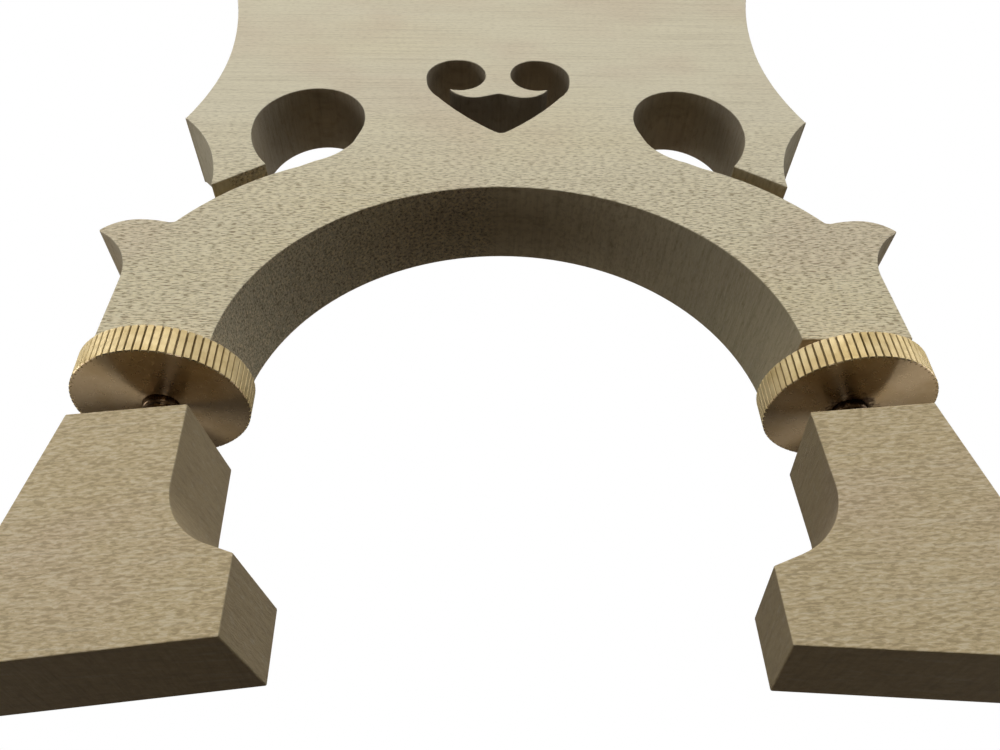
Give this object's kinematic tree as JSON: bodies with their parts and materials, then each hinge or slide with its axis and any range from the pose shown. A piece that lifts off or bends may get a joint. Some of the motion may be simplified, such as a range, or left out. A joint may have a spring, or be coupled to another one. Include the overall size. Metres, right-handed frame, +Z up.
{
  "type": "adjustable double bass bridge",
  "caption": "Maple double bass bridge on two separate feet, with knurled brass wheels on studs between legs and feet to set the string height.",
  "frame": {"origin": "at the height of the lowest sole edge, midway between the two studs' axes", "axes": "+Z up towards the crown, +X towards the right foot as seen from the flat face, -Y out of the flat face"},
  "size_m": [0.1598, 0.03, 0.1878],
  "materials": {
    "maple": "bare fine-sanded maple, straight fine grain with short dark rays",
    "brass": "turned and lightly polished, knurled rim",
    "steel": "bright turned steel"
  },
  "bodies": {
    "bridge": {"bridge_body": "maple"},
    "left_adjuster": {"left_wheel": "brass", "left_stud": "steel"},
    "right_adjuster": {"right_wheel": "brass", "right_stud": "steel"},
    "left_base": {"left_foot": "maple"},
    "right_base": {"right_foot": "maple"}
  },
  "joints": [
    {"name": "left_wheel_turn", "type": "hinge", "parent": "bridge", "child": "left_adjuster", "pos_m": [-0.0604, 0, 0.0542], "axis": [0, 0, 1], "range_deg": [-2880, 3600]},
    {"name": "left_foot_travel", "type": "slide", "parent": "bridge", "child": "left_base", "axis": [0, 0, -1], "range_m": [-0.0081, 0.0101]},
    {"name": "right_wheel_turn", "type": "hinge", "parent": "bridge", "child": "right_adjuster", "pos_m": [0.0604, 0, 0.0523], "axis": [0, 0, 1], "range_deg": [-2340, 4320]},
    {"name": "right_foot_travel", "type": "slide", "parent": "bridge", "child": "right_base", "axis": [0, 0, -1], "range_m": [-0.0066, 0.0121]}
  ],
  "couplings": [
    {"joint": "left_foot_travel", "follows": "left_wheel_turn", "m_per_rad": 0.00015915},
    {"joint": "right_foot_travel", "follows": "right_wheel_turn", "m_per_rad": 0.00015915}
  ]
}
